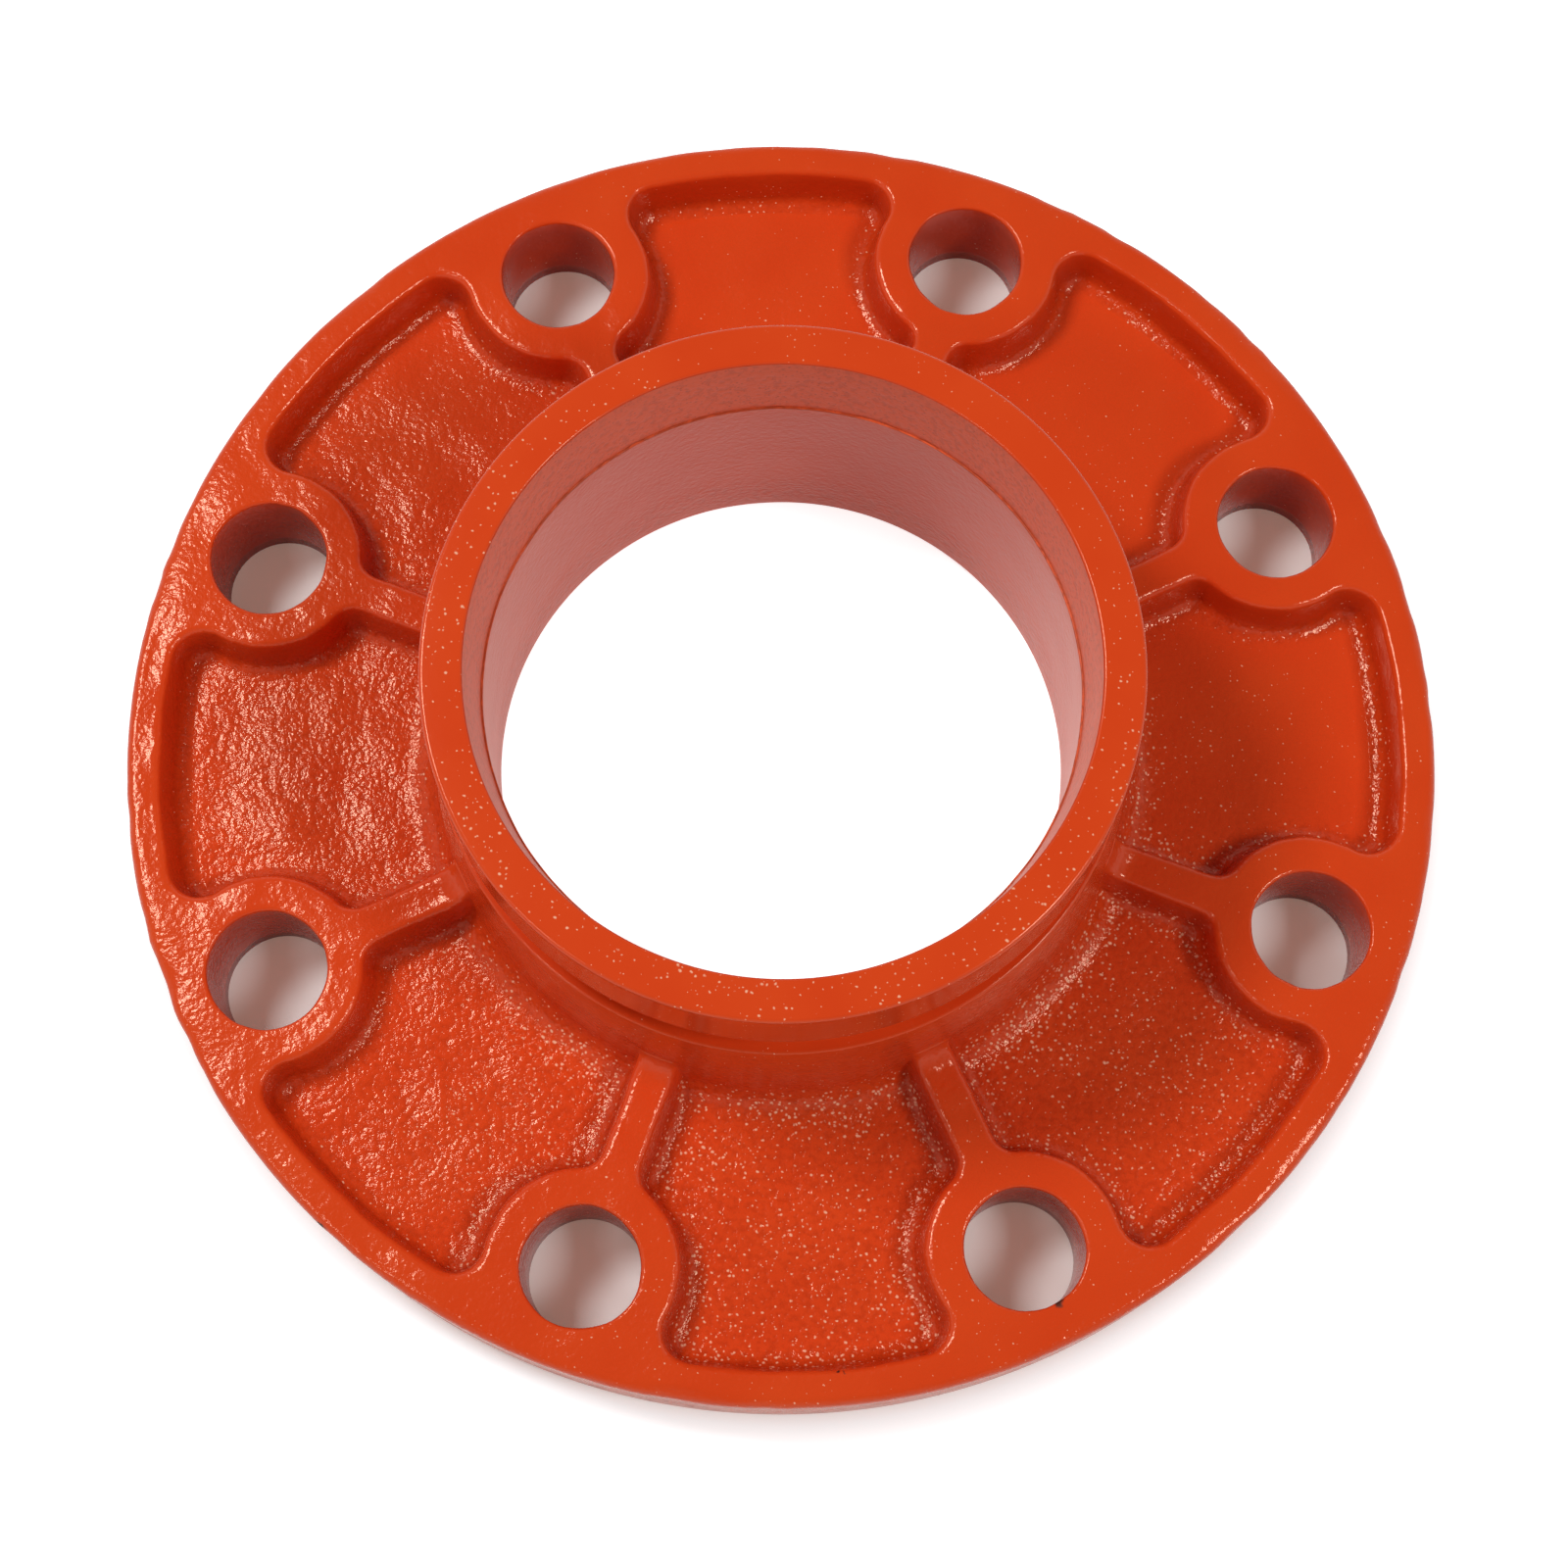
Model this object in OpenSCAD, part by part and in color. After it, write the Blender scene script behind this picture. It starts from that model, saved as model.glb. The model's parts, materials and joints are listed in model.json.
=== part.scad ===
// Grooved flange adaptor: one iron casting that joins grooved pipe to a drilled flange.
// Millimetres. The mating face lies on z = 0, the bore runs up +Z to the grooved end.

/* [Flange] */
// Distance from the bolt circle to the flange's outside
bolt_edge = 16; // [15.5:0.5:22]
// Flange thickness from the mating face to the back
flange_t = 20; // [17:0.5:26]
// Radius along the flange's outer edges
flange_edge_r = 1.5; // [0.5:0.1:2]

/* [Bolt holes] */
// Bolt circle diameter
bolt_pcd = 180; // [176:0.5:192]
// Number of bolt holes, with one boss and one rib to each
bolt_count = 8; // [6:1:9]
// Bolt hole diameter
bolt_hole_d = 19; // [16:0.5:21]
// Chamfer at the upper edge of a bolt hole
bolt_chamfer = 0.5; // [0.2:0.1:1]

/* [Back pockets] */
// Depth of the pockets below the flange back
pocket_depth = 8; // [6.5:0.25:9.5]
// Width of the rim outside the pockets
rim_w = 5.5; // [4:0.25:6]
// Diameter of the boss round a bolt hole
boss_d = 30.4; // [28:0.2:31]
// Width of a rib between its upper edges
rib_w = 6; // [4.5:0.25:8]
// Draft of the pocket walls in degrees
wall_draft = 10; // [3:0.5:12]
// Fillet between a pocket wall and its floor
floor_fillet_r = 2.6; // [1:0.1:2.8]
// Rounding of the upper edges of rim, bosses and ribs
edge_r = 1.2; // [0.4:0.1:1.6]
// Corner radius of a pocket between rim and boss
corner_rim_r = 5; // [4.5:0.25:6]
// Corner radius of a pocket between boss and rib
corner_rib_r = 4; // [3.8:0.1:5]

/* [Neck] */
// Height of the grooved end above the flange back
neck_h = 43; // [38:0.5:50]
// How far the groove's shoulder stands outside the pipe's size
shoulder_step = 0.4; // [0:0.1:1]
// How far the neck widens from the groove's shoulder to its lower edge
neck_flare = 1.2; // [0.4:0.1:2]
// Height of the neck's lower edge above the flange back
neck_edge_h = 6.5; // [6:0.25:9]
// How far the neck widens below its lower edge
hub_draft = 0.6; // [0.2:0.1:1.5]
// Fillet between the neck and a pocket floor
neck_fillet_r = 5.5; // [3:0.25:6]
// Fillet between the neck and the top of a rib
rib_root_r = 5; // [3:0.25:5.5]

/* [Grooved end] */
// Outside diameter of the pipe that the grooved end matches
pipe_d = 108; // [101.6:0.1:114.3]
// Width of the gasket seat, from the end to the groove
seat_w = 15.9; // [13:0.1:17]
// Width of the coupling groove
groove_w = 8.7; // [8:0.1:9.6]
// Depth of the coupling groove
groove_depth = 2.1; // [1.5:0.1:2.4]
// Rounding of the end's outer edge
lip_edge_r = 1; // [0.4:0.1:1.5]

/* [Bore] */
// Wall of the grooved end at its rim
lip_wall = 6.5; // [5:0.25:8]
// Depth of the core joint below the end
joint_depth = 13.6; // [10:0.2:20]
// Bore diameter just above the core joint
joint_d = 91.8; // [90:0.2:93]
// Step of the bore at the core joint
joint_step = 0.5; // [0.2:0.1:1]
// Bore diameter at the mating face, before its chamfer
bore_d = 93.4; // [92:0.2:96]
// Chamfer of the bore at the mating face
bore_chamfer = 4; // [1:0.25:5]

/* [Hidden] */
$fn = 96;
bolt_r = bolt_pcd / 2;
flange_r = bolt_r + bolt_edge;
rim_r = flange_r - rim_w;
boss_r = boss_d / 2;
rib_half = rib_w / 2;
pipe_r = pipe_d / 2;
end_z = flange_t + neck_h;
seat_z = end_z - seat_w;
shoulder_z = seat_z - groove_w;
floor_z = flange_t - pocket_depth;
shoulder_r = pipe_r + shoulder_step;
neck_r = shoulder_r + neck_flare;
hub_r = neck_r + hub_draft;
foot_r = hub_r + neck_fillet_r;
joint_z = end_z - joint_depth;
// surfaces that would only touch run past each other by this much
lap = 0.05;
// steps of the curves in a pocket's wall
rim_steps = 3;
corner_steps = 4;
boss_steps = 5;
edge_steps = 2;
fillet_steps = 3;
// half the angle from one rib to the next
pitch = 180 / bolt_count;
// the floor fillet of a pocket wall ends this far inside the wall's upper edge
foot_s = (pocket_depth - floor_fillet_r) * tan(wall_draft) + floor_fillet_r / cos(wall_draft);
// the rounding of an upper edge starts this far behind it
edge_s = edge_r * (1 / cos(wall_draft) - tan(wall_draft));
// a bolt hole's centre, and the directions along its rib and across it into a pocket
along = [cos(pitch), sin(pitch)];
across = [sin(pitch), -cos(pitch)];
hole_c = bolt_r * along;
// centre of the pocket corner between rim and boss
rim_c_r = rim_r - corner_rim_r;
rim_c_d = boss_r + corner_rim_r;
rim_c_a = pitch - acos((rim_c_r * rim_c_r + bolt_r * bolt_r - rim_c_d * rim_c_d) / (2 * rim_c_r * bolt_r));
rim_c = rim_c_r * [cos(rim_c_a), sin(rim_c_a)];
// centre of the pocket corner between boss and rib
rib_c_y = rib_half + corner_rib_r;
rib_c_d = boss_r + corner_rib_r;
rib_c_x = bolt_r - sqrt(rib_c_d * rib_c_d - rib_c_y * rib_c_y);
rib_c = rib_c_x * along + rib_c_y * across;

function angle_of(v) = atan2(v[1], v[0]);
function dir(a) = [cos(a), sin(a)];

// Points of an arc about c, each with the direction that leads into the pocket: in is -1 towards c, 1 away from it.
function arc(c, r, from, to, steps, in) =
    [for (i = [0 : steps]) let (d = dir(from + (to - from) * i / steps)) [c + r * d, in * d]];

// Upper edge of one half of a pocket, from the middle of the rim round to the rib's foot inside the neck.
to_hole = angle_of(hole_c - rim_c);
half_edge = concat(
    arc([0, 0], rim_r, 0, rim_c_a, rim_steps, -1),
    arc(rim_c, corner_rim_r, rim_c_a, to_hole, corner_steps, -1),
    arc(hole_c, boss_r, to_hole + 180, angle_of(rib_c - hole_c) + 360, boss_steps, 1),
    arc(rib_c, corner_rib_r, angle_of(hole_c - rib_c), pitch + 90, corner_steps, -1),
    [[(hub_r - 4) * along + rib_half * across, across]]);
function kept(e) = [for (i = [0 : len(e) - 1]) if (i == 0 || norm(e[i][0] - e[i - 1][0]) > 0.01) e[i]];
function flipped(e) = [for (i = [len(e) - 1 : -1 : 1]) [[e[i][0][0], -e[i][0][1]], [e[i][1][0], -e[i][1][1]]]];
pocket_edge = concat(flipped(kept(half_edge)), kept(half_edge));

// Section of a pocket wall from above its rounded upper edge down to the floor, as [inset, height].
wall_levels = concat(
    [[-edge_s, 1]],
    [for (i = [0 : edge_steps]) [-edge_s, lap - edge_r] + edge_r * dir(90 + (wall_draft - 90) * i / edge_steps)],
    [for (i = [0 : fillet_steps]) [foot_s, floor_fillet_r - pocket_depth]
        - floor_fillet_r * dir(wall_draft + (90 - wall_draft) * i / fillet_steps)]);

// One pocket between two ribs, lofted down its wall section and run in under the neck.
module pocket() {
    n = len(pocket_edge);
    levels = len(wall_levels);
    points = [for (w = wall_levels) for (e = pocket_edge)
        [e[0][0] + w[0] * e[1][0], e[0][1] + w[0] * e[1][1], flange_t + w[1]]];
    walls = [for (k = [0 : levels - 2]) for (i = [0 : n - 1])
        let (j = (i + 1) % n) [k * n + i, k * n + j, (k + 1) * n + j, (k + 1) * n + i]];
    half = (n - 1) / 2;
    top = [for (i = [0 : half - 1]) i == half - 1 ? [half + 1, half, half - 1] : [n - 1 - i, n - 2 - i, i + 1, i]];
    last = (levels - 1) * n;
    floor = [for (f = top) [for (i = [len(f) - 1 : -1 : 0]) last + f[i]]];
    polyhedron(points, concat(walls, top, floor));
}

// Removes a convex corner at p; up is 1 for an upper corner and -1 for a lower one.
module corner_cut(p, r, up) {
    translate(p) mirror([0, up < 0 ? 1 : 0]) translate([-r, -r]) difference() {
        square(r + 1);
        circle(r);
    }
}

// Flange with its bolt holes, without its pockets.
module flange() {
    difference() {
        rotate_extrude() difference() {
            translate([hub_r - 3, 0]) square([flange_r - hub_r + 3, flange_t]);
            corner_cut([flange_r, flange_t], flange_edge_r, 1);
            corner_cut([flange_r, 0], flange_edge_r, -1);
        }
        for (i = [1 : bolt_count]) rotate((2 * i + 1) * pitch) bolt_hole();
    }
}

// Neck with the grooved end and the stepped bore; the fillet at its foot meets the pocket floors.
module neck() {
    rotate_extrude() difference() {
        polygon([[bore_d / 2 + bore_chamfer, 0], [foot_r, 0], [foot_r, floor_z - lap],
            [hub_r, floor_z + neck_fillet_r - lap], [neck_r, flange_t + neck_edge_h],
            [shoulder_r, shoulder_z], [pipe_r - groove_depth, shoulder_z],
            [pipe_r - groove_depth, seat_z], [pipe_r, seat_z], [pipe_r, end_z],
            [pipe_r - lip_wall, end_z], [joint_d / 2, joint_z], [joint_d / 2 - joint_step, joint_z],
            [bore_d / 2, bore_chamfer]]);
        translate([foot_r, floor_z + neck_fillet_r - lap]) circle(neck_fillet_r);
        corner_cut([pipe_r, end_z], lip_edge_r, 1);
    }
}

// Fillet that carries a rib's top up the neck.
module rib_root() {
    c = [neck_r + rib_root_r - 0.2, flange_t + rib_root_r - lap];
    translate([0, rib_half - edge_s, 0]) rotate([90, 0, 0]) linear_extrude(rib_w - 2 * edge_s) difference() {
        translate([hub_r - 3, flange_t - 2]) square([c[0] - hub_r + 3, rib_root_r + 2]);
        translate(c) circle(rib_root_r);
    }
}

// Bolt hole with its upper edge chamfered.
module bolt_hole() {
    r = bolt_hole_d / 2;
    translate([bolt_r, 0, 0]) rotate_extrude() polygon([[0, -1], [r, -1], [r, flange_t - bolt_chamfer],
        [r + bolt_chamfer + 1, flange_t + 1], [0, flange_t + 1]]);
}

// The casting, with a rib from each bolt hole's boss to the neck and a pocket between two ribs.
module flange_adaptor() {
    color([0.8, 0.2, 0.1]) union() {
        difference() {
            flange();
            for (i = [1 : bolt_count]) rotate(2 * i * pitch) pocket();
        }
        neck();
        for (i = [1 : bolt_count]) rotate((2 * i + 1) * pitch) rib_root();
    }
}

flange_adaptor();
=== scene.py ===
import json
import bmesh
import bpy
import numpy as np
from mathutils import Matrix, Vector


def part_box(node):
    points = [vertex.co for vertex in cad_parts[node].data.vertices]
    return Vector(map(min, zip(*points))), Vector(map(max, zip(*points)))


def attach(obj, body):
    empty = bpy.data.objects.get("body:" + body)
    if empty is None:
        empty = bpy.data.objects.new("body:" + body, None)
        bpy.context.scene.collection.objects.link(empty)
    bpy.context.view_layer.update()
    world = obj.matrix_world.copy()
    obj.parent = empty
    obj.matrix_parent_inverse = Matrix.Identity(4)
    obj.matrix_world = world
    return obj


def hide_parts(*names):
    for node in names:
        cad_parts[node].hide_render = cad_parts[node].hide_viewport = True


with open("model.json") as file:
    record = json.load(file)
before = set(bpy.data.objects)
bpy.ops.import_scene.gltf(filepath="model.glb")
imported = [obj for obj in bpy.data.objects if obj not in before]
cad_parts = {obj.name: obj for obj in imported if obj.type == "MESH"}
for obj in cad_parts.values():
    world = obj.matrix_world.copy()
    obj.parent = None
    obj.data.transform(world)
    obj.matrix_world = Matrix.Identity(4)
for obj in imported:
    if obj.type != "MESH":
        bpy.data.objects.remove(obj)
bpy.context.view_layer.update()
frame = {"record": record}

# Casting: one piece of ductile iron, a drilled flange whose back is hollowed into pockets between ribs, and a
# neck that ends in a coupling groove. It is cast in sand, so its walls have draft, its corners are filleted
# and its skin is grainy; the lip and the groove are turned, and all of it is painted.

# Sizes are in millimetres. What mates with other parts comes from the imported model.
mm = 0.001
mounts = {mount["name"]: mount["dims"] for mount in frame["record"]["mounts"]}
outer_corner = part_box("flange_adaptor")[1] / mm
flange_r = outer_corner.x
end_z = outer_corner.z
bolt_count = mounts["bolt_holes"]["count"]
bolt_r = mounts["bolt_holes"]["pcd_mm"] / 2
hole_r = mounts["bolt_holes"]["hole_r_mm"]
pipe_r = mounts["grooved_end"]["r_mm"]
back_z = 20.0
flange_edge = 1.5
hole_edge = 0.6

pocket_depth = 8.0
rim_w = 5.5
rim_r = flange_r - rim_w
boss_r = 15.2
rib_half = 3.0
draft = np.radians(10)
floor_fillet = 2.6
top_edge = 1.2
corner_rim = 5.0
corner_rib = 4.0

neck_edge_h = 6.5
seat_w = 15.9
groove_w = 8.7
groove_depth = 2.1
shoulder_step = 0.4
neck_flare = 1.2
hub_draft = 0.6
hub_fillet = 5.5
rib_root = 5.0
floor_z = back_z - pocket_depth
neck_edge_z = back_z + neck_edge_h
seat_z = end_z - seat_w
shoulder_z = seat_z - groove_w
groove_r = pipe_r - groove_depth
shoulder_r = pipe_r + shoulder_step
neck_r = shoulder_r + neck_flare
hub_r = neck_r + hub_draft
foot_r = hub_r + hub_fillet

# A sector runs from the middle of a pocket to the middle of a rib, on the side where y is positive.
pitch = np.pi / bolt_count
along = np.array([np.cos(pitch), np.sin(pitch)])
across = np.array([np.sin(pitch), -np.cos(pitch)])
hole_centre = bolt_r * along


def angle_of(vector):
    """Direction of a plane vector in radians."""
    return np.arctan2(vector[1], vector[0])


def arc(centre, radius, start, stop, count, inward):
    """Points centre + radius * (cos a, sin a) for count angles a after start, up to stop, and with them
    inward * (cos a, sin a)."""
    a = np.linspace(start, stop, count + 1)[1:, None]
    direction = np.hstack([np.cos(a), np.sin(a)])
    return centre + radius * direction, inward * direction


def line(start, stop, count):
    """Points start + t * (stop - start) for count values of t after 0, up to 1."""
    t = np.linspace(0, 1, count + 1)[1:, None]
    return start + t * (np.asarray(stop) - start)


# A pocket's corner arcs touch the curves on both sides: the rim and the boss, or the boss and the rib.
rim_centre_r = rim_r - corner_rim
rim_reach = boss_r + corner_rim
rim_cosine = (rim_centre_r ** 2 + bolt_r ** 2 - rim_reach ** 2) / (2 * rim_centre_r * bolt_r)
rim_angle = pitch - np.arccos(rim_cosine)
rim_centre = rim_centre_r * np.array([np.cos(rim_angle), np.sin(rim_angle)])
rib_corner_y = rib_half + corner_rib
rib_corner_x = bolt_r - np.sqrt((boss_r + corner_rib) ** 2 - rib_corner_y ** 2)
rib_centre = rib_corner_x * along + rib_corner_y * across

# Number of mesh steps along each stretch of a pocket's half outline, and across the land and down the wall.
rim_n, corner_n, boss_n, rib_corner_n, rib_n, fillet_n, hub_n = 16, 14, 24, 8, 10, 8, 6
land_n, edge_n, wall_n, foot_n = 7, 4, 3, 5

to_hole = angle_of(hole_centre - rim_centre)
stretches = [
    arc(np.zeros(2), rim_r, 0, rim_angle, rim_n, -1),
    arc(rim_centre, corner_rim, rim_angle, to_hole, corner_n, -1),
    arc(hole_centre, boss_r, to_hole + np.pi, angle_of(rib_centre - hole_centre) + 2 * np.pi, boss_n, 1),
    arc(rib_centre, corner_rib, angle_of(hole_centre - rib_centre), pitch + np.pi / 2, rib_corner_n, -1),
]
edge = np.vstack([[[rim_r, 0]]] + [stretch[0] for stretch in stretches])
inward = np.vstack([[[-1, 0]]] + [stretch[1] for stretch in stretches])

# The land's far side: the outer edge, the line from rim to hole, the bolt hole, then the rib's middle line.
# Beyond that line, a bridge of land joins the outer edge to the outer part of the hole.
land_r = flange_r - flange_edge
bore_edge_r = hole_r + hole_edge
to_rim_corner = rim_centre - hole_centre
to_rib_corner = rib_centre - hole_centre
boss_from = angle_of([np.dot(to_rim_corner, along), np.dot(to_rim_corner, across)])
boss_to = angle_of([np.dot(to_rib_corner, along), np.dot(to_rib_corner, across)])
outer_n, web_n, hole_n, inner_n, bridge_n = 5, 4, 5, 5, 8
bridge_hole = np.radians(52)
bridge_rim = pitch - np.radians(6.6)


def round_hole(start, stop, count):
    """Points of the bolt hole's upper edge, by the angle from the rib's direction towards the pocket."""
    return arc(hole_centre, bore_edge_r, pitch - start, pitch - stop, count, 1)[0]


outer_rim = np.vstack([[[land_r, 0]], arc(np.zeros(2), land_r, 0, rim_angle, rim_n, 1)[0],
                       arc(np.zeros(2), land_r, rim_angle, bridge_rim, outer_n, 1)[0]])
bridge_start = round_hole(0, bridge_hole, 1)[-1]
hole_rim = np.vstack([round_hole(bridge_hole, boss_from, hole_n), round_hole(boss_from, boss_to, boss_n),
                      round_hole(boss_to, np.pi, inner_n)])
far_side = np.vstack([outer_rim, line(outer_rim[-1], bridge_start, web_n), hole_rim,
                      line((bolt_r - bore_edge_r) * along, rib_corner_x * along, rib_corner_n - inner_n)])
bridge_outer = np.vstack([outer_rim[-1:], arc(np.zeros(2), land_r, bridge_rim, pitch, bridge_n, 1)[0]])
bridge_inner = np.vstack([[bridge_start], round_hole(bridge_hole, 0, bridge_n)])
outer_rim = np.vstack([outer_rim, bridge_outer[1:]])
hole_rim = np.vstack([bridge_inner[::-1], hole_rim])

# Section of a pocket wall: inset from the upper edge, and height above the floor.
foot_inset = (pocket_depth - floor_fillet) * np.tan(draft) + floor_fillet / np.cos(draft)
edge_inset = top_edge * (1 / np.cos(draft) - np.tan(draft))
edge_turn = np.linspace(np.pi / 2, draft, edge_n + 1)
edge_arc = top_edge * np.column_stack([np.cos(edge_turn), np.sin(edge_turn)])
edge_section = [-edge_inset, pocket_depth - top_edge] + edge_arc
foot_turn = np.linspace(draft, np.pi / 2, foot_n + 1)
foot_arc = floor_fillet * np.column_stack([np.cos(foot_turn), np.sin(foot_turn)])
foot_section = [foot_inset, floor_fillet] - foot_arc
section = np.vstack([edge_section, line(edge_section[-1], foot_section[0], wall_n), foot_section[1:]])

# Along the rib the rows run down to the hub's foot, round its fillet and up to the neck's lower edge.
fillet_turn = np.linspace(0, np.pi / 2, fillet_n + 1)[1:]
hub_rows = np.hstack([foot_r - hub_fillet * np.sin(fillet_turn), line(hub_r, neck_r, hub_n)[:, 0]])


def rib_rows(offset):
    """Points beside the rib's middle line at the given offset, on circles where the hub's rows are."""
    reach = np.sqrt(np.hstack([[foot_r], hub_rows]) ** 2 - offset ** 2)
    x = np.hstack([line(rib_corner_x, reach[0], rib_n)[:, 0], reach[1:]])
    return x[:, None] * along + offset * across


def hub_height(radius):
    """Height of the hub's side above the pocket floor: zero outside its foot, then a quarter circle, then a
    steep cone."""
    bend = np.clip((foot_r - radius) / hub_fillet, 0, 1)
    fillet = hub_fillet * (1 - np.sqrt(1 - bend ** 2))
    climb = np.clip((hub_r - radius) / (hub_r - neck_r), 0, 1)
    return fillet + climb * (neck_edge_z - floor_z - hub_fillet)


# Above this height over the pocket floor, the ribs fade into the hub's side.
rib_fade_h = 9.0


def back_height(height, xy):
    """Height of the flange's back: the section's height, raised at a rib's root by a quarter circle, run into
    the hub's side as the sixth root of the sum of sixth powers."""
    radius = np.hypot(xy[..., 0], xy[..., 1])
    reach = np.clip((neck_r + rib_root - radius) / rib_root, 0, 1)
    raised = height * (1 + rib_root * (1 - np.sqrt(1 - reach ** 2)) / pocket_depth)
    hub = hub_height(radius)
    fade = np.clip((hub - rib_fade_h) / (neck_edge_z - floor_z - rib_fade_h), 0, 1)
    raised = raised * (1 - fade * fade * (3 - 2 * fade))
    return floor_z + (raised ** 6 + hub ** 6) ** (1 / 6)


def on_back(xy, height):
    """Grid of points on the flange's back from plane points and their section heights."""
    return np.dstack([xy, back_height(np.broadcast_to(height, xy.shape[:2]), xy)])


# Land and wall: rows follow the outline, columns run from the far side to the upper edge and down the wall.
land_share = np.linspace(0, 1, land_n + 1)[None, :, None]
upper = edge + edge_inset * -inward
land_xy = far_side[:, None] * (1 - land_share) + upper[:, None] * land_share
rib_land = np.stack([rib_rows(t * (rib_half - edge_inset)) for t in land_share[0, :, 0]], axis=1)
land = on_back(np.vstack([land_xy, rib_land]), pocket_depth)
web_share = np.linspace(0, 1, web_n + 1)[None, :, None]
bridge_xy = bridge_outer[:, None] * (1 - web_share) + bridge_inner[:, None] * web_share
bridge = on_back(bridge_xy, pocket_depth)
wall_xy = edge[:, None] + section[None, :, :1] * inward[:, None]
rib_wall = np.stack([rib_rows(rib_half + inset) for inset in section[:, 0]], axis=1)
wall = on_back(np.vstack([wall_xy, rib_wall]), section[None, :, 1])

# Pocket floor: arcs from one wall's foot to the other's, at the radius of each point of the foot.
foot = wall[rim_n:, -1, :2]
foot_radius = np.hypot(foot[:, 0], foot[:, 1])[:, None]
foot_swing = np.arctan2(foot[:, 1], foot[:, 0])[:, None] * np.linspace(0, 1, rim_n + 1)
floor = on_back(np.dstack([foot_radius * np.cos(foot_swing), foot_radius * np.sin(foot_swing)]), 0.0)


def rounded(corners, radii, steps):
    """Outline through the corners, each replaced by an arc of its radius that touches both sides."""
    corners = np.asarray(corners, float)
    outline = [corners[:1]]
    for before, corner, after, radius in zip(corners, corners[1:], corners[2:], radii):
        a = (before - corner) / np.linalg.norm(before - corner)
        b = (after - corner) / np.linalg.norm(after - corner)
        half = np.arccos(np.clip(np.dot(a, b), -1, 1)) / 2
        centre = corner + radius / np.sin(half) * (a + b) / np.linalg.norm(a + b)
        start = corner + radius / np.tan(half) * a - centre
        stop = corner + radius / np.tan(half) * b - centre
        swing = np.arctan2(start[0] * stop[1] - start[1] * stop[0], np.dot(start, stop))
        turn = angle_of(start) + swing * np.linspace(0, 1, steps + 1)
        outline.append(centre + radius * np.column_stack([np.cos(turn), np.sin(turn)]))
    outline.append(corners[-1:])
    return np.vstack(outline)


def divided(outline, longest):
    """The outline with every straight run longer than the given length cut into equal parts."""
    runs = [outline[:1]]
    for start, stop in zip(outline, outline[1:]):
        runs.append(line(start, stop, int(np.ceil(np.linalg.norm(stop - start) / longest))))
    return np.vstack(runs)


def turned(profile, angles):
    """Grid of the profile's points (radius, height) turned about the bore's axis to each angle."""
    r, z = profile[:, :1], profile[:, 1:]
    return np.dstack([r * np.cos(angles), r * np.sin(angles), z + 0 * angles])


# Neck: up the flared side and the groove's shoulder, round the groove and the lip, and down the stepped bore.
lip_wall = 6.5
joint_z = end_z - 13.6
joint_r = 45.9
joint_step = 0.3
bore_r = 46.7
bore_chamfer = 4.0
neck_corners = [
    (neck_r, neck_edge_z), (shoulder_r, shoulder_z), (groove_r, shoulder_z), (groove_r, seat_z),
    (pipe_r, seat_z), (pipe_r, end_z), (pipe_r - lip_wall, end_z), (joint_r, joint_z),
    (joint_r - joint_step, joint_z), (bore_r, bore_chamfer), (bore_r + bore_chamfer, 0),
]
neck_radii = [0.5, 0.4, 0.4, 0.3, 0.7, 0.5, 0.15, 0.15, 0.8]
# Longest mesh step along the neck and down the bolt holes, and down the outer side.
neck_run, side_run = 3.4, 2.4
neck_profile = divided(rounded(neck_corners, neck_radii, 3), neck_run)
foot_rows = (floor[-1], wall[-1, ::-1], land[-1, ::-1])
columns = np.hstack([np.arctan2(row[:, 1], row[:, 0]) for row in foot_rows])
neck = turned(neck_profile, np.unique(columns.round(9)))

# Outer side of the flange, and a bolt hole with its rounded upper edge.
side_corners = [(land_r, back_z), (flange_r, back_z), (flange_r, 0), (land_r, 0)]
side_profile = divided(rounded(side_corners, [flange_edge, flange_edge], 5), side_run)
side = turned(side_profile, np.arctan2(outer_rim[:, 1], outer_rim[:, 0]))
hole_corners = [(bore_edge_r, back_z), (hole_r, back_z), (hole_r, 0)]
hole_profile = divided(rounded(hole_corners, [hole_edge], 4), neck_run)
spoke = (hole_rim - hole_centre) / bore_edge_r
hole_xy = hole_centre + hole_profile[:, None, :1] * spoke
hole = np.dstack([hole_xy, hole_profile[:, None, 1] + 0 * spoke[:, :1].T])

# Every patch is mirrored to a whole sector and turned to all the bolt holes, then the seams are closed.
seam = 0.01
points, faces, first = [], [], 0
for patch in (land, bridge, wall, floor, neck, side, hole):
    rows, cols = patch.shape[:2]
    index = np.arange(rows * cols).reshape(rows, cols)
    quads = np.stack([index[:-1, :-1], index[1:, :-1], index[1:, 1:], index[:-1, 1:]], axis=-1).reshape(-1, 4)
    for hand in (1, -1):
        for sector in range(bolt_count):
            a = 2 * pitch * sector
            rotation = [[np.cos(a), np.sin(a), 0], [-hand * np.sin(a), hand * np.cos(a), 0], [0, 0, 1]]
            points.append(patch.reshape(-1, 3) @ np.array(rotation))
            faces.append(quads + first)
            first += rows * cols
casting_mesh = bpy.data.meshes.new("casting")
casting_mesh.from_pydata((np.vstack(points) * mm).tolist(), [], np.vstack(faces).tolist())
shell = bmesh.new()
shell.from_mesh(casting_mesh)
bmesh.ops.remove_doubles(shell, verts=shell.verts, dist=seam * mm)
bmesh.ops.triangle_fill(shell, edges=[e for e in shell.edges if e.is_boundary], use_beauty=True)
bmesh.ops.recalc_face_normals(shell, faces=shell.faces)
shell.to_mesh(casting_mesh)
shell.free()
casting_mesh.shade_smooth()

waves = np.random.default_rng(5)


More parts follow.
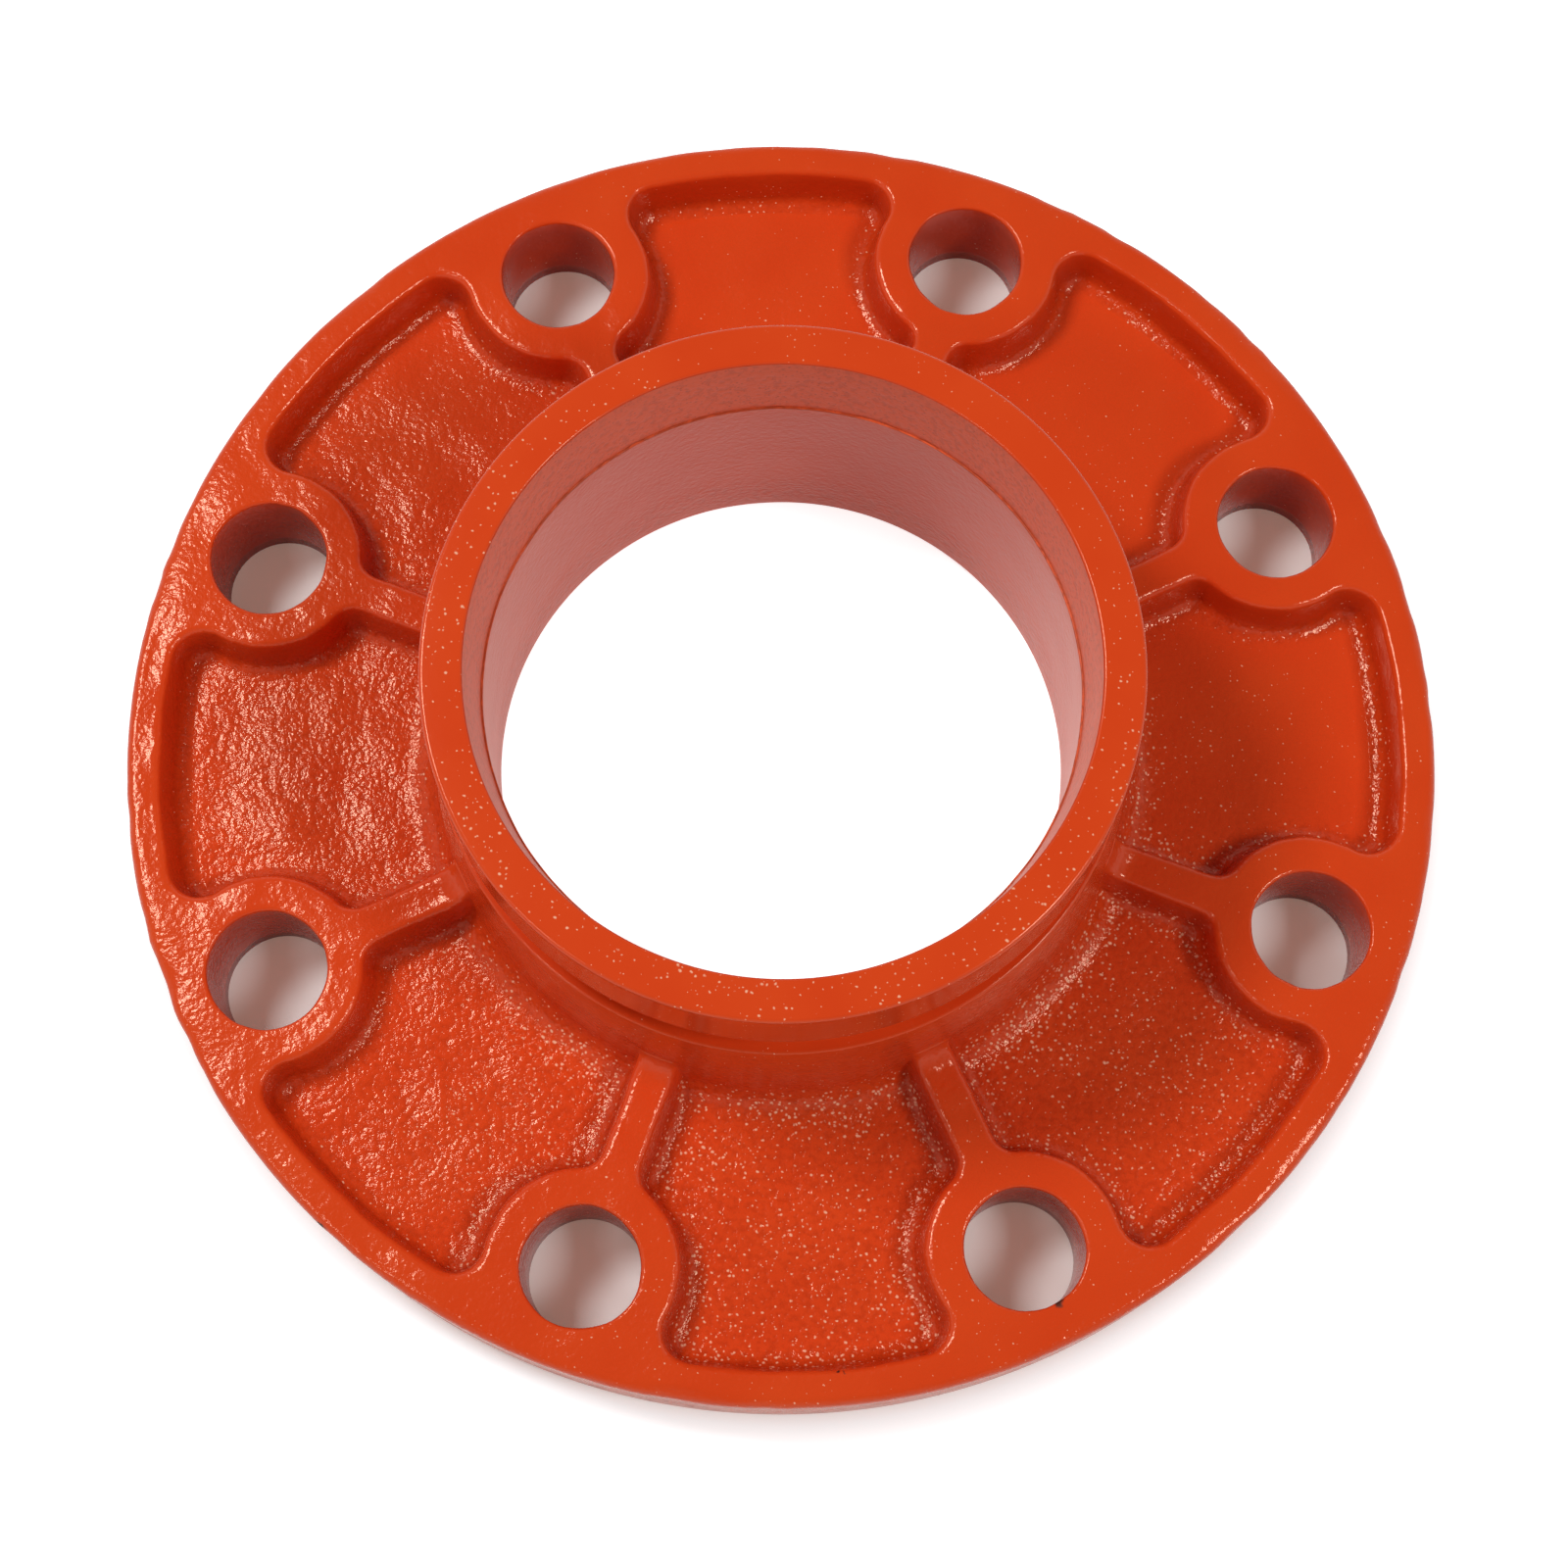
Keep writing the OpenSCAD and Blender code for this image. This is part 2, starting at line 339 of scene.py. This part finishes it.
def lumps(places, size, count=36):
    """Smooth noise of about unit height: the sum of cosine waves about size long, with random directions and
    phases."""
    direction = waves.normal(size=(3, count))
    direction *= 2 * np.pi / size * waves.uniform(0.6, 1.5, count) / np.linalg.norm(direction, axis=0)
    return np.cos(places @ direction + waves.uniform(0, 2 * np.pi, count)).sum(axis=1) * np.sqrt(2 / count)


def ramp(value, low, high):
    """Smooth step from 0 at low to 1 at high."""
    t = np.clip((value - low) / (high - low), 0, 1)
    return t * t * (3 - 2 * t)


vertex_count = len(casting_mesh.vertices)
place = np.empty(vertex_count * 3)
casting_mesh.vertices.foreach_get("co", place)
place = place.reshape(-1, 3) / mm
normal = np.empty(vertex_count * 3)
casting_mesh.vertices.foreach_get("normal", normal)
normal = normal.reshape(-1, 3)
ends = np.empty(2 * len(casting_mesh.edges), int)
casting_mesh.edges.foreach_get("vertices", ends)
near, far = ends.reshape(-1, 2).T
edge_count = np.bincount(ends, minlength=vertex_count)


def edge_mean(at_near, at_far):
    """Mean over the edges that meet at each vertex, of one value per edge for either of its ends."""
    return (np.bincount(near, at_near, vertex_count) + np.bincount(far, at_far, vertex_count)) / edge_count


def smoothed(values, passes):
    """Values moved halfway to the mean of their neighbours, the given number of times."""
    for pass_number in range(passes):
        values = 0.5 * values + 0.5 * edge_mean(values[far], values[near])
    return values


# How hollow the surface is: the height of each neighbour above the tangent plane, over its distance squared.
to_far = place[far] - place[near]
squared = (to_far ** 2).sum(axis=1)
above_near = (normal[near] * to_far).sum(axis=1) / squared
above_far = -(normal[far] * to_far).sum(axis=1) / squared
hollow = smoothed(edge_mean(above_near, above_far), 3)
around = smoothed(hollow, 12)

# The sand's unevenness is in the mesh: wide waves and lumps, none of it on the turned faces. The outer edge
# only loses by it, as where it was fettled, and has two dents on the left: the place, radius and depth of
# each are given.
wave_h, wave_l = 0.10, 14
lump_h, lump_l = 0.035, 5
loss_h, loss_l, most_loss = 0.04, 11, 0.2
dents = (((-98.2, -35.4, 19.6), 3.6, 0.7), ((-94.2, -45.0, 19.6), 3.0, 0.5))
edge_reach = 2.5
radius = np.hypot(place[:, 0], place[:, 1])
height = place[:, 2].copy()
turned_face = ramp(height, shoulder_z - 3, shoulder_z - 1) * ramp(radius, pipe_r - 5.5, pipe_r - 4.5)
as_cast = ramp(height, 3.0, 7.0) * (1 - ramp(height, end_z - 3.0, end_z - 1.2)) * (1 - turned_face)
outer_edge = ramp(radius, flange_r - edge_reach, flange_r - 0.8)
bore_wall = (1 - ramp(radius, pipe_r - 5.6, pipe_r - 4.6)) * (1 - ramp(height, end_z - 0.5, end_z - 0.05))
bump = (wave_h * lumps(place, wave_l) + lump_h * lumps(place, lump_l)) * (1 - 0.75 * bore_wall)
loss = np.minimum(loss_h * lumps(place, loss_l) ** 2, most_loss)
for dent, size, depth in dents:
    loss += depth * np.exp(-((place - dent) ** 2).sum(axis=1) / size ** 2)
uneven = np.where(radius > flange_r - edge_reach, (1 - outer_edge) * bump - outer_edge * loss, bump)
place += normal * (as_cast * uneven)[:, None]
casting_mesh.vertices.foreach_set("co", (place * mm).ravel())

# What the paint reads at each vertex. The sand's grain is coarsest in the pockets and towards the front left.
pocketed = 1 - ramp(height, floor_z + 1, back_z - 1)
front_left = ramp(-0.45 * place[:, 0] - 0.8 * place[:, 1], -70, 20)
filleted = ramp(hollow, 0.02, 0.1) * (1 - bore_wall) * pocketed
near_wall = ramp(around, 0.01, 0.05) * (1 - bore_wall) * pocketed
least_grain, bore_grain = 0.1, 0.9
flange_grain = 0.45 + 0.55 * front_left + 0.2 * filleted + 0.25 * near_wall
grain = flange_grain * (1 - bore_wall) + bore_grain * bore_wall
grain = as_cast * (0.6 + 0.4 * pocketed) * grain + least_grain

# Nibs lie thickest at the front, round the hub's foot and along pocket walls, where their pale specks stand
# in
# for glints: painted highlights. The left and the bore have few.
at_foot = ramp(radius, hub_r - 1, hub_r) * (1 - ramp(radius, foot_r, foot_r + 5))
on_lip = ramp(height, end_z - 1, end_z)
left = 1 - ramp(place[:, 0], -75, -35)
front_pocket = 0.25 + (0.1 + 0.35 * ramp(place[:, 0], 5, 45)) * at_foot
nib_glint_share = 0.4 + 0.15 * pocketed + 0.08 * on_lip + 0.3 * near_wall
nib_glint_share += front_left * (0.2 + front_pocket * pocketed + 0.22 * on_lip)
nib_glint_share *= (1 - bore_wall) * (1 - 0.45 * left * (1 - on_lip))

# Painted shade darkens the steep pocket walls and their fillets, where the film has also pooled. The joint
# parts the bore into two bands.
wall_pool_and_shade, fillet_pool_and_shade = 0.38, 0.15
steep = 1 - ramp(np.abs(normal[:, 2]), 0.35, 0.85)
below_land = 1 - ramp(height, back_z - 1.6, back_z - 0.3)
sunken = steep * ramp(radius, hub_r, foot_r) * (1 - outer_edge) * below_land
in_fillet = ramp(hollow, 0.02, 0.1) * (1 - bore_wall) * ramp(back_z + 1 - height, 0, 2)
pool = wall_pool_and_shade * sunken + fillet_pool_and_shade * in_fillet
band = bore_wall * (0.5 + 0.5 * ramp(height, joint_z - 0.4, joint_z + 0.1))
for name, values in (("grain", grain), ("nibs", nib_glint_share), ("pool", pool), ("band", band)):
    casting_mesh.attributes.new(name, "FLOAT", "POINT").data.foreach_set("value", values.astype(np.float32))
casting_mesh.update()
casting = bpy.data.objects.new("casting", casting_mesh)
bpy.context.scene.collection.objects.link(casting)
# Wide faces keep their own normal, so that the rounded edges look as narrow as they are.
casting.modifiers.new("even_normals", "WEIGHTED_NORMAL")


def linear(colour):
    """Linear RGBA of an sRGB hex colour: ((c + 0.055) / 1.055) ** 2.4 for each channel c, or c / 12.92 where
    it is dark."""
    c = np.array([int(colour[i:i + 2], 16) for i in (1, 3, 5)]) / 255
    return (*np.where(c > 0.04045, ((c + 0.055) / 1.055) ** 2.4, c / 12.92), 1.0)


def add(tree, kind, inputs, **settings):
    """Adds one node with its settings, and sets each input or links it to another node's output."""
    node = tree.nodes.new(kind)
    for name, value in settings.items():
        setattr(node, name, value)
    for key, value in inputs.items():
        if isinstance(value, bpy.types.NodeSocket):
            tree.links.new(value, node.inputs[key])
        else:
            node.inputs[key].default_value = value
    return node


# Gloss alkyd paint, sprayed thick over sand-cast iron: a saturated orange-red film that is smooth itself and
# follows the grain below it, so that it sparkles where it mirrors a light. Painted shade darkens it down the
# pocket walls, where it has also pooled, and in the grain's hollows; pale dry specks in it carry painted
# glints, and in the bore it is duller, with a chalky upper band.
red_paint = bpy.data.materials.new("gloss_red_paint_on_cast_iron")
red_paint.use_nodes = True
tree = red_paint.node_tree
tree.nodes.clear()
where = add(tree, "ShaderNodeTexCoord", {}).outputs["Object"]
grain_here = add(tree, "ShaderNodeAttribute", {}, attribute_name="grain").outputs["Fac"]
nib_glints_here = add(tree, "ShaderNodeAttribute", {}, attribute_name="nibs").outputs["Fac"]
pool_and_shade_here = add(tree, "ShaderNodeAttribute", {}, attribute_name="pool").outputs["Fac"]
band_here = add(tree, "ShaderNodeAttribute", {}, attribute_name="band").outputs["Fac"]
pooled_and_shaded_red = linear("#A02708")

grain_size = 1.1 * mm
grain_depth = 0.21 * mm
sand = add(tree, "ShaderNodeTexNoise", {"Vector": where, "Scale": 1 / grain_size, "Detail": 2.0,
                                        "Roughness": 0.55}).outputs["Fac"]
sand_height = add(tree, "ShaderNodeMath", {0: sand, 1: grain_here}, operation="MULTIPLY")
relief = add(tree, "ShaderNodeBump", {"Height": sand_height.outputs[0], "Strength": 1.0,
                                      "Distance": grain_depth})

# A nib is a dry, pale speck that is also a painted glint. Each has its own size, and they crowd where their
# share is high and in blotches.
nib_spacing = 0.85 * mm
nib_bend = (0.8 * mm, -0.6 * mm, 0.7 * mm)
blotch_size = 16 * mm
widest_nib, least_nib = 0.37, 0.01
bent = add(tree, "ShaderNodeVectorMath", {0: sand, 1: nib_bend, 2: where}, operation="MULTIPLY_ADD")
cells = add(tree, "ShaderNodeTexVoronoi", {"Vector": bent.outputs[0], "Scale": 1 / nib_spacing})
blotch = add(tree, "ShaderNodeTexNoise", {"Vector": where, "Scale": 1 / blotch_size,
                                          "Detail": 2.0}).outputs["Fac"]
crowd = add(tree, "ShaderNodeMath", {0: blotch, 1: 0.5}, operation="SUBTRACT")
crowd = add(tree, "ShaderNodeMath", {0: crowd.outputs[0], 1: nib_glints_here}, operation="ADD")
nib_size = add(tree, "ShaderNodeMath", {0: cells.outputs["Color"], 1: crowd.outputs[0]}, operation="ADD")
nib_size = add(tree, "ShaderNodeMapRange", {"Value": nib_size.outputs[0], "From Min": 1.0, "From Max": 1.95,
                                            "To Min": 0.0, "To Max": widest_nib})
nib_size = add(tree, "ShaderNodeMath", {0: nib_size.outputs[0], 1: least_nib}, operation="MAXIMUM")
off_nib = add(tree, "ShaderNodeMath", {0: cells.outputs["Distance"], 1: nib_size.outputs[0]},
              operation="DIVIDE", use_clamp=True)
dry_speck_and_glint = add(tree, "ShaderNodeMapRange", {"Value": off_nib.outputs[0], "From Min": 0.45, "From Max": 1.0,
                                       "To Min": 0.92, "To Max": 0.0})

tint = add(tree, "ShaderNodeMix", {"Factor": blotch, "A": linear("#DA3F15"), "B": linear("#E44D1D")},
           data_type="RGBA")
# Painted shade down the pocket walls and in their fillets, where the film has also pooled.
tint = add(tree, "ShaderNodeMix", {"Factor": pool_and_shade_here, "A": tint.outputs["Result"], "B": pooled_and_shaded_red},
           data_type="RGBA")
# Painted shade in the grain's hollows, strongest on the roughest skin.
grain_hollow_shade = add(tree, "ShaderNodeMapRange", {"Value": sand, "From Min": 0.34, "From Max": 0.56,
                                          "To Min": 1.0, "To Max": 0.0})
rough_cast = add(tree, "ShaderNodeMapRange", {"Value": grain_here, "From Min": 0.7, "From Max": 1.1,
                                              "To Max": 0.28})
grain_hollow_shade = add(tree, "ShaderNodeMath", {0: grain_hollow_shade.outputs[0], 1: rough_cast.outputs[0]}, operation="MULTIPLY")
tint = add(tree, "ShaderNodeMix", {"Factor": grain_hollow_shade.outputs[0], "A": tint.outputs["Result"], "B": pooled_and_shaded_red},
           data_type="RGBA")
# Pale specks: dry nibs that also carry painted glints.
tint = add(tree, "ShaderNodeMix", {"Factor": dry_speck_and_glint.outputs[0], "A": tint.outputs["Result"],
                                   "B": linear("#FFC09C")}, data_type="RGBA")

# Bore: a thin coat, chalky and pitted above the core joint, with painted shade in the grain's hollows there,
# and a thin dark line that wanders along it.
thin_coat, chalk, pit_dark, hollow_shade, joint_dark = 0.15, 0.45, 0.4, 0.2, 0.5
wander_size = 3 * mm
wander_reach = 0.8 * mm
thin = add(tree, "ShaderNodeMapRange", {"Value": band_here, "From Max": 0.5, "To Max": thin_coat})
tint = add(tree, "ShaderNodeMix", {"Factor": thin.outputs[0], "A": tint.outputs["Result"],
                                   "B": linear("#A63A18")}, data_type="RGBA")
above_joint = add(tree, "ShaderNodeMapRange", {"Value": band_here, "From Min": 0.6, "From Max": 0.9})
chalky = add(tree, "ShaderNodeMath", {0: above_joint.outputs[0], 1: chalk}, operation="MULTIPLY")
tint = add(tree, "ShaderNodeMix", {"Factor": chalky.outputs[0], "A": tint.outputs["Result"],
                                   "B": linear("#F2703F")}, data_type="RGBA")
pits_and_shade = add(tree, "ShaderNodeMapRange", {"Value": cells.outputs["Distance"], "From Min": 0.1, "From Max": 0.3,
                                       "To Min": pit_dark, "To Max": 0.0})
# Painted shade in the sand's hollows above the joint, joined to the pits.
sand_hollow_shade = add(tree, "ShaderNodeMapRange", {"Value": sand, "From Min": 0.36, "From Max": 0.5,
                                               "To Min": hollow_shade, "To Max": 0.0})
pits_and_shade = add(tree, "ShaderNodeMath", {0: pits_and_shade.outputs[0], 1: sand_hollow_shade.outputs[0]}, operation="MAXIMUM")
pits_and_shade = add(tree, "ShaderNodeMath", {0: pits_and_shade.outputs[0], 1: above_joint.outputs[0]}, operation="MULTIPLY")
wander = add(tree, "ShaderNodeTexNoise", {"Vector": where, "Scale": 1 / wander_size, "Detail": 1.0})
wander = add(tree, "ShaderNodeMapRange", {"Value": wander.outputs["Fac"], "To Min": -wander_reach,
                                          "To Max": wander_reach})
above_floor = add(tree, "ShaderNodeSeparateXYZ", {0: where}).outputs["Z"]
off_joint = add(tree, "ShaderNodeMath", {0: above_floor, 1: wander.outputs[0]}, operation="ADD")
off_joint = add(tree, "ShaderNodeMath", {0: off_joint.outputs[0], 1: joint_z * mm}, operation="SUBTRACT")
off_joint = add(tree, "ShaderNodeMath", {0: off_joint.outputs[0]}, operation="ABSOLUTE")
joint = add(tree, "ShaderNodeMapRange", {"Value": off_joint.outputs[0], "From Min": 0.05 * mm,
                                         "From Max": 0.25 * mm, "To Min": joint_dark, "To Max": 0.0})
in_band = add(tree, "ShaderNodeMapRange", {"Value": band_here, "From Min": 0.1, "From Max": 0.3})
joint = add(tree, "ShaderNodeMath", {0: joint.outputs[0], 1: in_band.outputs[0]}, operation="MULTIPLY")
dark = add(tree, "ShaderNodeMath", {0: pits_and_shade.outputs[0], 1: joint.outputs[0]}, operation="MAXIMUM")
tint = add(tree, "ShaderNodeMix", {"Factor": dark.outputs[0], "A": tint.outputs["Result"],
                                   "B": linear("#862614")}, data_type="RGBA")

# Knocks that bared the iron, at a bolt hole's edge, along the front rim and on the outer side. Each has its
# place, a factor on its distance along each axis, which is least where the knock is longest, and its radius.
knocks = (
    ((39.25, -91.4, 19.5), (1, 1, 1), 1.1),
    ((4.9, -101.0, 19.4), (0.35, 1, 1), 0.42),
    ((-25.3, -102.9, 5.5), (0.14, 1, 1.4), 0.55),
    ((-19.0, -104.3, 7.8), (0.2, 1, 1.6), 0.5),
    ((6.0, -105.8, 11.0), (0.16, 1, 1.8), 0.5),
    ((-74.9, -75.0, 18.8), (0.4, 0.4, 1), 0.5),
    ((-66.0, -82.9, 17.5), (0.3, 0.3, 1.4), 0.45),
)
ragged_size = 0.9 * mm
ragged_reach = 0.7 * mm
ragged = add(tree, "ShaderNodeTexNoise", {"Vector": where, "Scale": 1 / ragged_size, "Detail": 1.0})
ragged = add(tree, "ShaderNodeMapRange", {"Value": ragged.outputs["Fac"], "To Min": -ragged_reach,
                                          "To Max": ragged_reach})
worn = None
for knock, stretch, size in knocks:
    away = add(tree, "ShaderNodeVectorMath", {0: where, 1: [c * mm for c in knock]}, operation="SUBTRACT")
    away = add(tree, "ShaderNodeVectorMath", {0: away.outputs[0], 1: stretch}, operation="MULTIPLY")
    away = add(tree, "ShaderNodeVectorMath", {0: away.outputs[0]}, operation="LENGTH")
    away = add(tree, "ShaderNodeMath", {0: away.outputs["Value"], 1: ragged.outputs[0]}, operation="ADD")
    bared = add(tree, "ShaderNodeMapRange", {"Value": away.outputs[0], "From Min": 0.6 * size * mm,
                                             "From Max": size * mm, "To Min": 1.0, "To Max": 0.0})
    if worn:
        bared = add(tree, "ShaderNodeMath", {0: worn.outputs[0], 1: bared.outputs[0]}, operation="MAXIMUM")
    worn = bared
tint = add(tree, "ShaderNodeMix", {"Factor": worn.outputs[0], "A": tint.outputs["Result"],
                                   "B": linear("#4A2018")}, data_type="RGBA")
glossy, chalk_rough, iron_rough = 0.17, 0.38, 0.6
gloss = add(tree, "ShaderNodeMapRange", {"Value": band_here, "To Min": glossy, "To Max": chalk_rough})
gloss = add(tree, "ShaderNodeMapRange", {"Value": worn.outputs[0], "To Min": gloss.outputs[0],
                                         "To Max": iron_rough})
paint = add(tree, "ShaderNodeBsdfPrincipled", {
    "Base Color": tint.outputs["Result"], "Roughness": gloss.outputs[0], "Normal": relief.outputs[0],
    "IOR": 1.5, "Specular IOR Level": 0.45, "Specular Tint": linear("#FFDCC0")})
add(tree, "ShaderNodeOutputMaterial", {"Surface": paint.outputs[0]})
casting_mesh.materials.append(red_paint)
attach(casting, "root")
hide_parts("flange_adaptor")

# Floor: a wide white table that takes the casting's soft shadow. What the light leaves short of white is
# added for the eye, and half of it in what the paint mirrors. Under the flange only a little is added, warm
# from the red above it.
table_r = 6000.0
table_steps = 96
table_profile = np.array([(1.0, 0), (400.0, 0), (table_r, 0)])
disc = turned(table_profile, np.linspace(0, 2 * np.pi, table_steps + 1)[:-1])
rings, spokes = disc.shape[:2]
disc_index = np.arange(rings * spokes).reshape(rings, spokes)
ahead = np.roll(disc_index, -1, axis=1)
disc_quads = np.stack([disc_index[:-1], disc_index[1:], ahead[1:], ahead[:-1]], axis=-1).reshape(-1, 4)
table_mesh = bpy.data.meshes.new("white_table")
disc_faces = disc_quads.tolist() + [disc_index[0].tolist()]
table_mesh.from_pydata((disc.reshape(-1, 3) * mm).tolist(), [], disc_faces)
table = bpy.data.objects.new("white_table", table_mesh)
bpy.context.scene.collection.objects.link(table)
paper = bpy.data.materials.new("white_paper")
paper.use_nodes = True
# What is added is no lamp, so it isn't sampled as one.
paper.cycles.emission_sampling = "NONE"
tree = paper.node_tree
tree.nodes.clear()
mirror_share = 0.5
clear_lift, shade_lift, warm_below = 0.97, 0.165, 0.4
bore_clear_r, bore_shade_r, flange_shade_r, open_r = 40 * mm, 68 * mm, 102 * mm, 118 * mm
diffuse = add(tree, "ShaderNodeBsdfDiffuse", {"Color": linear("#E9F1F2")})
ray = add(tree, "ShaderNodeLightPath", {})
mirrored = add(tree, "ShaderNodeMath", {0: ray.outputs["Is Glossy Ray"], 1: mirror_share},
               operation="MULTIPLY")
seen = add(tree, "ShaderNodeMath", {0: ray.outputs["Is Camera Ray"], 1: mirrored.outputs[0]}, operation="ADD")
seen = add(tree, "ShaderNodeMath", {0: seen.outputs[0], 1: ray.outputs["Is Transmission Ray"]},
           operation="ADD", use_clamp=True)
table_place = add(tree, "ShaderNodeTexCoord", {}).outputs["Object"]
off_axis = add(tree, "ShaderNodeVectorMath", {0: table_place}, operation="LENGTH").outputs["Value"]
inside = add(tree, "ShaderNodeMapRange", {"Value": off_axis, "From Min": bore_clear_r,
                                          "From Max": bore_shade_r, "To Min": clear_lift,
                                          "To Max": shade_lift}, interpolation_type="SMOOTHSTEP")
outside = add(tree, "ShaderNodeMapRange", {"Value": off_axis, "From Min": flange_shade_r,
                                           "From Max": open_r, "To Min": shade_lift,
                                           "To Max": clear_lift}, interpolation_type="SMOOTHSTEP")
lift = add(tree, "ShaderNodeMath", {0: inside.outputs[0], 1: outside.outputs[0]}, operation="MAXIMUM")
lift = add(tree, "ShaderNodeMath", {0: lift.outputs[0], 1: seen.outputs[0]}, operation="MULTIPLY")
clear = add(tree, "ShaderNodeMapRange", {"Value": lift.outputs[0], "From Min": shade_lift,
                                         "From Max": warm_below})
clear = add(tree, "ShaderNodeMath", {0: clear.outputs[0], 1: mirrored.outputs[0]}, operation="SUBTRACT")
thrown = add(tree, "ShaderNodeMix", {"Factor": clear.outputs[0], "A": linear("#FFDBC6"),
                                     "B": linear("#FFFFFF")}, data_type="RGBA")
glow = add(tree, "ShaderNodeEmission", {"Color": thrown.outputs["Result"], "Strength": lift.outputs[0]})
both = add(tree, "ShaderNodeAddShader", {0: diffuse.outputs[0], 1: glow.outputs[0]})
add(tree, "ShaderNodeOutputMaterial", {"Surface": both.outputs[0]})
table_mesh.materials.append(paper)


# Light: three soft boxes stand high round the casting, the key behind it on the left, a weak one in front on
# the left and one in front on the right. The room is bright near the horizon, and brighter to the eye and in
# what the paint mirrors than as light.
def soft_box(name, spot, aim, width, watts):
    """A square lamp at spot whose face is turned to aim."""
    lamp = bpy.data.lights.new(name, "AREA")
    lamp.shape = "RECTANGLE"
    lamp.size = width
    lamp.size_y = width
    lamp.energy = watts
    holder = bpy.data.objects.new(name, lamp)
    away = np.array(spot) - aim
    away /= np.linalg.norm(away)
    right = np.cross([0, 1, 0], away)
    right /= np.linalg.norm(right)
    matrix = np.eye(4)
    matrix[:3, :3] = np.column_stack([right, np.cross(away, right), away])
    matrix[:3, 3] = spot
    holder.matrix_world = Matrix(matrix.tolist())
    bpy.context.scene.collection.objects.link(holder)


lamp_aim = (0, 0, 0.02)
soft_box("key_soft_box", (-0.50, 0.27, 0.95), lamp_aim, 0.26, 5.5)
soft_box("left_soft_box", (-0.62, -0.36, 0.95), lamp_aim, 0.16, 1.03)
soft_box("right_soft_box", (0.64, -0.33, 0.95), lamp_aim, 0.24, 4.3)
room = bpy.data.worlds.new("soft_room")
room.use_nodes = True
tree = room.node_tree
tree.nodes.clear()
lit_level, seen_extra, overhead_level = 0.36, 0.64, 0.09
fade_from, fade_to = 0.25, 0.85
toward = add(tree, "ShaderNodeTexCoord", {}).outputs["Generated"]
upward = add(tree, "ShaderNodeSeparateXYZ", {0: toward}).outputs["Z"]
ray = add(tree, "ShaderNodeLightPath", {})
room_seen = add(tree, "ShaderNodeMath", {0: ray.outputs["Is Camera Ray"], 1: ray.outputs["Is Glossy Ray"]},
                operation="ADD")
room_seen = add(tree, "ShaderNodeMath", {0: room_seen.outputs[0], 1: ray.outputs["Is Transmission Ray"]},
                operation="ADD", use_clamp=True)
room_level = add(tree, "ShaderNodeMath", {0: room_seen.outputs[0], 1: seen_extra, 2: lit_level},
                 operation="MULTIPLY_ADD")
room_glow = add(tree, "ShaderNodeMapRange", {"Value": upward, "From Min": fade_from, "From Max": fade_to,
                                             "To Min": room_level.outputs[0], "To Max": overhead_level})
sky = add(tree, "ShaderNodeBackground", {"Color": linear("#FFFFFF"), "Strength": room_glow.outputs[0]})
add(tree, "ShaderNodeOutputWorld", {"Surface": sky.outputs[0]})
bpy.context.scene.world = room

# Camera: it stands in front of the casting and looks steeply down on it, as the photograph was taken.
azimuth, elevation, roll = np.radians([-3.51, 75.30, 1.26])
distance, aim_x, aim_y = 478.4, -0.38, 7.05
picture_width, focal_pixels, sensor_width = 1600, 3015, 36.0
flat = np.cos(elevation)
back = np.array([np.sin(azimuth) * flat, -np.cos(azimuth) * flat, np.sin(elevation)])
level = np.array([np.cos(azimuth), np.sin(azimuth), 0])
rise = np.cross(back, level)
right = np.cos(roll) * level + np.sin(roll) * rise
up = np.cos(roll) * rise - np.sin(roll) * level
stand = distance * back - aim_x * right - aim_y * up + [0, 0, back_z]
pose = np.eye(4)
pose[:3, :3] = np.column_stack([right, up, back])
pose[:3, 3] = stand * mm
eye = bpy.data.cameras.new("camera")
eye.sensor_width = sensor_width
eye.lens = focal_pixels / picture_width * sensor_width
camera = bpy.data.objects.new("camera", eye)
camera.matrix_world = Matrix(pose.tolist())
bpy.context.scene.collection.objects.link(camera)
bpy.context.scene.camera = camera
bpy.context.scene.view_settings.view_transform = "Standard"
